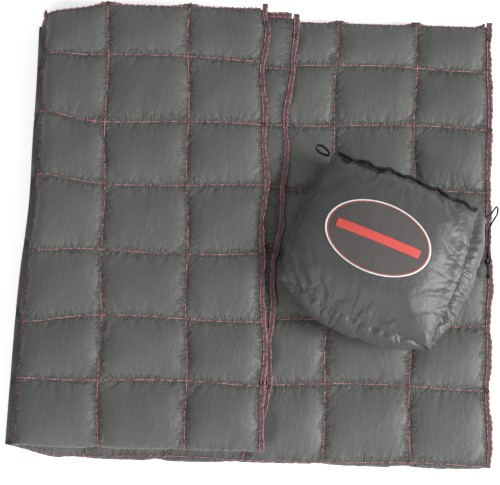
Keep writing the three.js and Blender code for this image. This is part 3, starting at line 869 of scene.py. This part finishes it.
SNAP_CAP = [(0.0, 1.5), (1.4, 1.5), (2.0, 1.9), (2.8, 2.5), (4.6, 3.0), (5.8, 2.7), (6.3, 1.9), (6.2, 1.1),
            (5.6, 0.6), (2.2, 0.5)]
SNAP_SOCKET = [(2.2, -0.5), (5.4, -0.7), (5.7, -1.4), (5.5, -2.6), (4.6, -2.8), (4.2, -2.2), (2.6, -2.0),
               (2.3, -3.0), (0.0, -3.1)]


def press_snap(name, hem, share, number):
    """A detailed press snap through a hem, at this seam number along it."""
    at = np.argmin(np.abs(hem.numbers - number))
    centre = hem.place(share, np.zeros(len(hem.line)))[at]
    up = hem.up[at] * hem.cap_side[at]
    side = hem.away[at]
    other = np.cross(up, side)
    points, faces = lathe(SNAP_CAP + SNAP_SOCKET)
    points = centre + points[..., :1] * side + points[..., 1:2] * other + points[..., 2:] * up
    return mesh_object(name, points, faces, BLACK_PLASTIC)


def rolled_under(most, least, centres, reach):
    """A droop that is least at some column seams and most between them."""
    def droop(u, v):
        near = sum(np.exp(-((u - c) / reach) ** 2) for c in centres)
        return np.radians(most - (most - least) * np.clip(near, 0, 1))
    return droop


hems = {
    "base_side_hem": Hem(0, (-0.13, 14.1), (-1, 0), 21),
    "base_upper_far_hem": Hem((0.02, 5), 0, (0, -1), 22, rolled_under(72, 20, (0.0, 1, 2), 0.1)),
    "base_lower_far_hem": Hem((0.02, 5.5), 14, (0, 1), 23, rolled_under(10, 10, (1,), 1)),
    "side_fold_far_hem": Hem((5.5, 6), 14, (0, 1), 24),
    "flap_side_hem": Hem(9, (-0.10, 14.12), (1, 0), 25),
    "flap_upper_far_hem": Hem((6, 8.98), 14, (0, 1), 26, rolled_under(62, 30, (7, 8), 0.12)),
    "flap_lower_far_hem": Hem((7, 8.98), 0, (0, -1), 27),
}
# Each hem's snaps: their stem, share of the hem's width, and seam numbers along the hem.
HEM_SNAPS = {
    "base_side_hem": ("base_side_snap", 0.5, (6, 4, 2, 0.25, 8, 10, 12, 13.75)),
    "base_upper_far_hem": ("base_upper_far_snap", 0.3, (1, 2)),
    "base_lower_far_hem": ("base_lower_far_snap", 0.5, (1, 2)),
    "flap_side_hem": ("flap_side_snap", 0.35, (13.72, 12, 10, 8.05, 0.35, 2, 4, 6)),
    "flap_upper_far_hem": ("flap_far_snap", 0.3, (8, 7)),
}
for name, hem in hems.items():
    body = name.split("_")[0]
    strip = hem.strip(name + "_binding")
    if body == "side":
        blend_at_fold(strip)
    else:
        attach(strip, "shell_nylon", body, name)
    stitching = Stitching()
    hem.stitch(stitching)
    stitching.finish(name + "_stitches")
    stem, share, numbers = HEM_SNAPS.get(name, ("", 0, ()))
    for count, number in enumerate(numbers, 1):
        node = f"{stem}_{count}"
        attach(press_snap(node + "_detail", hem, share, number), "snap_plastic", body, node)


# ---- The sack ----

SACK_PLACE = Vector((0.336, -0.058, 0.0523))
SACK_TURN = math.radians(-21)
SACK_STEPS, GUSSET_STEPS = 92, 22
SACK_HIGH, FRONT_SEAM, BACK_SEAM = 0.150, 0.100, 0.026
CORNER_DROP, CORNER_RISE = 0.022, 0.010
CREASE = 0.0014
SACK_MOST = 0.012  # the furthest that filling moves a point
PANEL_A, PANEL_B, GUSSET_LONG = 0.22, 0.2, 0.075  # half a panel each way, and down the gusset
# The front panel's corners about the sack's middle, and the corners of its sides
# where they are widest: far left, far right, near right, near left.
FRONT_CORNERS = {(-1, 1): (-0.225, 0.213), (1, 1): (0.200, 0.216),
                 (1, -1): (0.206, -0.180), (-1, -1): (-0.232, -0.164)}
SIDE_CORNERS = {(-1, 1): (-0.228, 0.213), (1, 1): (0.230, 0.205),
                (1, -1): (0.219, -0.182), (-1, -1): (-0.236, -0.167)}
FRONT_BOWS = (0.004, 0.004, 0.003, 0.006)  # right, far, left and near
SIDE_BOWS = (0.020, 0.004, 0.004, 0.046)


def sack_plan(a, b, corners, bows):
    """A place in the sack's plan, for a and b from -1 to 1, with bowed sides."""
    x, y = 0, 0
    for (i, j), (corner_x, corner_y) in corners.items():
        share = (1 + i * a) * (1 + j * b) / 4
        x, y = x + share * corner_x, y + share * corner_y
    right, far, left, near = bows
    across, along = (1 - b ** 2) ** 0.7, (1 - a ** 2) ** 0.7
    return (x + across * np.where(a > 0, right, left) * a,
            y + along * np.where(b > 0, far, near) * b)


def sack_start():
    """Points and faces of the sack before it is filled, with each point's a, b and level.

    level is 1 on the front panel, 0 on the back panel, and between on the gusset.
    """
    n = SACK_STEPS
    line = np.linspace(-1, 1, n + 1)
    a, b = np.meshgrid(line, line)
    x, y = sack_plan(a, b, FRONT_CORNERS, FRONT_BOWS)
    back_x, back_y = sack_plan(a, b, SIDE_CORNERS, SIDE_BOWS)
    dome = ((1 - np.abs(a) ** 2.8) * (1 - np.abs(b) ** 2.8)) ** 0.66
    corner = np.abs(a * b) ** 5
    seam_z = FRONT_SEAM - CORNER_DROP * corner
    front = np.stack([x, y, seam_z + (SACK_HIGH - FRONT_SEAM) * dome], -1)
    back_z = (BACK_SEAM + CORNER_RISE * corner) * (1 - dome ** 0.5)
    back = np.stack([0.95 * back_x, 0.95 * back_y, back_z], -1)
    index = np.arange((n + 1) ** 2).reshape(n + 1, n + 1)
    ring = np.concatenate([index[0, :-1], index[:-1, -1], index[-1, :0:-1], index[:0:-1, 0]])
    levels = np.linspace(1, 0, GUSSET_STEPS + 1)[1:-1]
    ring_a, ring_b = a.ravel()[ring], b.ravel()[ring]
    front_ring = np.stack(sack_plan(ring_a, ring_b, FRONT_CORNERS, FRONT_BOWS), -1)
    side_ring = np.stack(sack_plan(ring_a, ring_b, SIDE_CORNERS, SIDE_BOWS), -1)
    sides = []
    for level in levels:
        part = max(1.8 * level - 0.8, 0) ** 1.4
        narrow = 1 - 0.05 * max(1 - 2.2 * level, 0) ** 2
        ring_place = front_ring * part + side_ring * (1 - part) * narrow
        ring_corner = np.abs(ring_a * ring_b) ** 5
        foot, top = BACK_SEAM + CORNER_RISE * ring_corner, FRONT_SEAM - CORNER_DROP * ring_corner
        z = foot + (top - foot) * level
        sides.append(np.concatenate([ring_place, z[:, None]], 1))
    points = np.concatenate([front.reshape(-1, 3), *sides, back.reshape(-1, 3)])
    count = (n + 1) ** 2
    rows = [ring] + [count + k * len(ring) + np.arange(len(ring)) for k in range(len(levels))]
    last = count + len(levels) * len(ring)
    rows.append(last + ring)
    faces = [grid_faces(n + 1, n + 1)]
    for upper, lower in zip(rows[:-1], rows[1:]):
        faces.append(np.stack([upper, lower, np.roll(lower, -1), np.roll(upper, -1)], -1))
    faces.append(grid_faces(n + 1, n + 1, flip=True) + last)
    a_all = np.concatenate([a.ravel(), *[ring_a] * len(levels), a.ravel()])
    b_all = np.concatenate([b.ravel(), *[ring_b] * len(levels), b.ravel()])
    level_all = np.concatenate([np.ones(count), np.repeat(levels, len(ring)), np.zeros(count)])
    seams = np.concatenate([ring, last + ring])
    return points, np.concatenate(faces), (a_all, b_all, level_all), seams


def point_normals(points, faces):
    normals = np.zeros_like(points)
    quad = points[faces]
    face = np.cross(quad[:, 2] - quad[:, 0], quad[:, 3] - quad[:, 1])
    for k in range(faces.shape[1]):
        np.add.at(normals, faces[:, k], face)
    return unit(normals)


def fill_sack(start, faces, places, seams):
    """The sack's cloth blown out by its filling, its seams drawn in."""
    # The seams are drawn in, the front is nearly taut, and the gusset has cloth to spare.
    a, b, level = places
    edge = np.maximum(np.abs(a), np.abs(b))
    on_panel = np.where(level == 1, 0.56 - 0.16 * ease((edge - 0.6) / 0.4), 0.4)
    shares = np.where((level == 1) | (level == 0), on_panel, 0)
    shares[seams] = 1.0
    done = blown_up("sim_sack", start, faces, "seams", shares, 16, air_damping=3.0,
                    bending_stiffness=0.08, shrink_min=-0.065, shrink_max=0.035,
                    vertex_group_shrink="seams", uniform_pressure_force=2.5)
    moved = done - start
    moved -= moved.mean(0)
    # The stitched corners hold their places.
    moved *= (1 - 0.8 * np.abs(a * b) ** 8)[:, None]
    # The middle of the front stays smooth.
    moved *= np.where(level == 1, 0.12 + 0.50 * ease((edge - 0.5) / 0.45), 1)[:, None]
    far = np.linalg.norm(moved, axis=1, keepdims=True)
    return start + moved * np.minimum(1, SACK_MOST / np.maximum(far, 1e-9))


def uneven(t, step, seed):
    """A wave along t with crests about a step apart, uneven in place and in height."""
    random = np.random.default_rng(SEED + seed)
    knots = np.arange(-1.0, 1.0, step)
    place = knots + random.normal(0, 0.22 * step, len(knots))
    tall = random.uniform(0.25, 1.0, len(knots))
    height = np.zeros_like(t)
    for at, size in zip(place, tall):
        height += size * np.exp(-((t - at) / (0.30 * step)) ** 2)
    return height - 0.35


def gathers(points, normals, places):
    """Pleats under the drawn mouth and along the gusset, and puckers by the near seam."""
    a, b, level = places
    x, y = points[:, 0], points[:, 1]
    slant = 0.012 * np.sin(x * 31) + 0.010 * np.sin(y * 27 + 1)
    down_gusset = (1 - level) * GUSSET_LONG
    on_front, on_gusset = level == 1, (level > 0) & (level < 1)
    from_far = np.where(on_front, (1 - b) * PANEL_B, down_gusset)
    far_side = np.where(on_front, 1.0, b > 0.99)
    by_left = 0.30 + 0.70 * ease((0.10 - a) / 0.6)
    pleats = uneven(x + 0.3 * from_far, 0.0135, 31)
    mouth = far_side * by_left * 0.0034 * np.exp(-from_far / 0.024) * pleats
    mouth *= np.where(on_front, ease(from_far / 0.006), 1)

    from_right = np.where(on_front, (1 - a) * PANEL_A, 0)
    right_side = np.where(on_front, 1.0, a > 0.99)
    by_middle = 0.35 + 0.65 * np.exp(-((b + 0.40) / 0.50) ** 2)
    crumple = uneven(y + slant + 0.25 * down_gusset, 0.0215, 32)
    crumple += 0.5 * uneven(y - 0.4 * down_gusset, 0.0120, 33)
    across_gusset = 0.0058 * np.sin(math.pi * np.clip(level, 0.06, 0.97)) ** 0.5
    tall = np.where(on_front, 0.0016 * np.exp(-from_right / 0.014), across_gusset)
    gusset = right_side * by_middle * crumple * tall

    from_near = np.where(on_front, (1 + b) * PANEL_B, down_gusset)
    near_side = np.where(on_front, 1.0, b < -0.99)
    by_ends = 0.25 + 0.75 * np.exp(-((a + 0.80) / 0.35) ** 2) + 0.6 * np.exp(-((a - 0.75) / 0.25) ** 2)
    near = near_side * by_ends * 0.0022 * np.exp(-from_near / 0.016) * uneven(x + slant, 0.0115, 34)
    left_side = np.where(on_front, np.exp(-(1 + a) * PANEL_A / 0.03), a < -0.99)
    left = left_side * 0.0016 * uneven(y + 0.5 * x + slant, 0.0170, 35)
    return points + normals * (mouth + np.where(on_front | on_gusset, gusset + left, 0) + near)[:, None]


SACK_MATRIX = Matrix.Translation(SACK_PLACE) @ Matrix.Rotation(SACK_TURN, 4, "Z")


def place_on_sack(obj, slot, *nodes):
    """Puts a piece made about the sack's own middle in its place, riding with the sack."""
    obj.data.transform(SACK_MATRIX)
    obj.data.update()
    attach(obj, slot, "sack", *nodes)


start, sack_faces, sack_places, sack_seams = sack_start()
sack_points = fill_sack(start, sack_faces, sack_places, sack_seams)
sack_points = gathers(sack_points, point_normals(sack_points, sack_faces), sack_places)
sack_points[:, 2] = np.maximum(sack_points[:, 2], 0.0004)
# The seams lie in a shallow crease.
sack_points[sack_seams] -= CREASE * point_normals(sack_points, sack_faces)[sack_seams]
SACK_TREE = BVHTree.FromPolygons([tuple(p) for p in sack_points], sack_faces.tolist())
sack = mesh_object("sack_shell", sack_points, sack_faces, SACK_CLOTH)
smoother = sack.modifiers.new("smooth", "SUBSURF")
smoother.levels = smoother.render_levels = 1
place_on_sack(sack, "shell_nylon", "sack_front_panel", "sack_side_gusset", "sack_back_panel",
              "sack_filling")


def on_sack(x, y, lift):
    """The point on the sack's front above a place in its plan, lifted off the cloth."""
    hit, normal, _, _ = SACK_TREE.ray_cast(Vector((x, y, 0.3)), Vector((0, 0, -1)))
    if normal.z < 0:
        normal = -normal
    return hit + normal * lift


HIDDEN = 0.0006  # how far the edge of a patch goes into the cloth


def draped_piece(name, rows, lift, material, closed=False):
    """A thin piece of cloth sewn on the sack's front, from rows of places in its plan."""
    top = np.array([[on_sack(x, y, lift) for x, y in row] for row in rows])
    drop = np.array([0, 0, lift + HIDDEN])
    points = np.concatenate([top[:1] - drop, top, top[-1:] - drop])
    if not closed:
        points = np.concatenate([points[:, :1] - drop, points, points[:, -1:] - drop], axis=1)
    flat = points.reshape(-1, 3)
    faces = grid_faces(points.shape[0], points.shape[1], closed)
    quad = flat[faces[len(faces) // 2]]
    if np.cross(quad[2] - quad[0], quad[3] - quad[1])[2] < 0:
        faces = faces[:, ::-1]
    return mesh_object(name, points, faces, material)


# The badge: a plain oval patch with a pale border and a plain band, with no lettering.
BADGE_WIDE, BADGE_DEEP, BADGE_X, BADGE_Y = 0.290, 0.190, -0.026, 0.031
BADGE_CLOTH, PRINT_WHITE, PRINT_RED = (
    cloth_material(name, linear(*dark), linear(*light), 0.6, weave=2.0, creases=creases)
    for name, dark, light, creases in (
        ("badge_cloth", (66, 63, 62), (74, 71, 70), 0.4),
        ("badge_border", (205, 203, 202), (222, 220, 219), 0.3),
        ("badge_band", (186, 66, 60), (204, 80, 72), 0.3),
    ))


def oval_ring(inner, outer, rings):
    """Rows of places between two sizes of the badge's oval."""
    angle = 2 * math.pi * np.arange(150) / 150
    x, y = BADGE_WIDE / 2 * np.cos(angle), BADGE_DEEP / 2 * np.sin(angle)
    return [list(zip(BADGE_X + k * x, BADGE_Y + k * y)) for k in np.linspace(outer, inner, rings)]


def oval_band(low, high, rows, inset):
    """Rows of places of a level band across the badge's oval."""
    found = []
    for share in np.linspace(high, low, rows):
        half = BADGE_WIDE / 2 * inset * math.sqrt(max(1 - (2 * share / BADGE_DEEP) ** 2, 0))
        found.append([(BADGE_X + x, BADGE_Y + share) for x in np.linspace(-half, half, 90)])
    return found


badge = draped_piece("badge_ground", oval_ring(0.001, 1.0, 26), 0.0010, BADGE_CLOTH, closed=True)
place_on_sack(badge, "badge", "badge_patch")
for name, rows, closed, material, slot in (
    ("badge_border_outer", oval_ring(0.958, 0.992, 3), True, PRINT_WHITE, "badge_print"),
    ("badge_edge_line", oval_ring(0.932, 0.944, 3), True, PRINT_RED, "badge_band"),
    ("badge_plain_stripe", oval_band(-0.012, 0.012, 8, 0.80), False, PRINT_RED, "badge_band"),
):
    place_on_sack(draped_piece(name, rows, 0.0018, material, closed), slot)


def rounded_tape(path, up, width, thick, name, material, pleats=0.0, seed=3):
    """A flat tape swept along a path, its width along up."""
    up = unit(np.broadcast_to(np.array(up), path.shape))
    along = unit(np.gradient(path, axis=0))
    side = unit(np.cross(along, up))
    length = lengths_along(path)
    angle = 2 * math.pi * np.arange(14) / 14
    ripple = 1 + pleats * np.sin(2 * math.pi * length / 0.011 + np.sin(31 * length + seed))[:, None]
    wide = np.sign(np.cos(angle)) * np.abs(np.cos(angle)) ** 0.45 * width / 2
    deep = np.sign(np.sin(angle)) * np.abs(np.sin(angle)) ** 0.45 * thick / 2
    points = (path[:, None] + up[:, None] * (wide * ripple)[..., None]
              + side[:, None] * (deep * ripple)[..., None])
    points = np.concatenate([np.repeat(path[:1, None], 14, 1), points, np.repeat(path[-1:, None], 14, 1)])
    return mesh_object(name, points, grid_faces(points.shape[0], 14, True, flip=True), material)


# The drawn mouth: a black hem along the far seam, folded double near the left corner.
def mouth_line(first, last, lift, out, wave):
    a = np.linspace(first, last, 170)
    n = SACK_STEPS
    column = (a + 1) / 2 * n
    low = np.clip(np.floor(column).astype(int), 0, n - 1)
    part = (column - low)[:, None]
    edge = sack_points[:(n + 1) ** 2].reshape(n + 1, n + 1, 3)[-1]
    line = edge[low] * (1 - part) + edge[low + 1] * part
    padded = np.pad(line, ((4, 4), (0, 0)), mode="edge")
    line = np.stack([np.convolve(axis, np.ones(9) / 9, "valid") for axis in padded.T], -1)
    return line + np.stack([0 * a, out + wave * np.sin(19 * a) + 0.4 * wave * np.sin(47 * a + 1),
                            lift + wave * np.cos(23 * a)], -1)


mouth = rounded_tape(mouth_line(-0.95, 0.985, 0.0065, 0.0035, 0.0026), (0, 0.55, 0.83),
                     0.0120, 0.0056, "mouth_hem_binding", BLACK_CLOTH, pleats=0.05)
place_on_sack(mouth, "black_trim", "sack_mouth_hem")
double = rounded_tape(mouth_line(-0.88, -0.30, 0.0125, -0.0065, 0.0022), (0, -0.3, 0.95),
                      0.0055, 0.0038, "mouth_hem_fold", BLACK_CLOTH, pleats=0.08, seed=5)
place_on_sack(double, "black_trim")

# The hang loop: a strip of ribbed webbing standing out of the far left corner.
loop_angle = np.linspace(-math.pi * 0.93, math.pi * 0.93, 80)
LOOP_TURN = math.radians(146)
loop_out = 0.022 + 0.0208 * np.cos(loop_angle)
loop_side = 0.0098 * np.sin(loop_angle) * (1 + 0.25 * np.cos(loop_angle))
loop_path = np.stack([
    0.1976 + loop_out * math.cos(LOOP_TURN) - loop_side * math.sin(LOOP_TURN),
    0.2162 + loop_out * math.sin(LOOP_TURN) + loop_side * math.cos(LOOP_TURN),
    0.111 + 0.003 * np.sin(loop_angle)], -1)
WEBBING = cloth_material("webbing", linear(6, 6, 7), linear(14, 14, 15), 0.7, weave=4.0, creases=0.4,
                         sheen=0.02)
loop = rounded_tape(loop_path, (0.10, 0.32, 0.94), 0.0100, 0.0028, "hang_loop_webbing", WEBBING)
attach(loop, "black_trim", "sack", "hang_loop")


# ---- Floor and light ----

def add_stage():
    material, _, shader = new_material("floor_white")
    half = 30
    fill_in(shader, Base_Color=(0.9, 0.9, 0.9, 1), Roughness=0.9, Emission_Color=(1, 1, 1, 1),
            Emission_Strength=0.42)
    corners = [(-half, -half, 0), (half, -half, 0), (half, half, 0), (-half, half, 0)]
    floor = mesh_object("floor", corners, [[0, 1, 2, 3]], material, smooth=False)
    world = bpy.data.worlds.new("world")
    world.use_nodes = True
    fill_in(world.node_tree.nodes["Background"], Color=(1, 1, 1, 1), Strength=0.55)
    bpy.context.scene.world = world
    for name, place, size, power in (
        ("key", (6.4, -1.7, 3.7), 3.0, 880),
        ("fill", (-1.4, -4.2, 4.0), 3.0, 110),
    ):
        light = bpy.data.lights.new(name, "AREA")
        light.size = size
        light.energy = power
        lamp = bpy.data.objects.new(name, light)
        bpy.context.scene.collection.objects.link(lamp)
        lamp.location = place
        lamp.rotation_euler = (-Vector(place)).to_track_quat("-Z", "Y").to_euler()
    bpy.context.scene.view_settings.view_transform = "Standard"


add_stage()
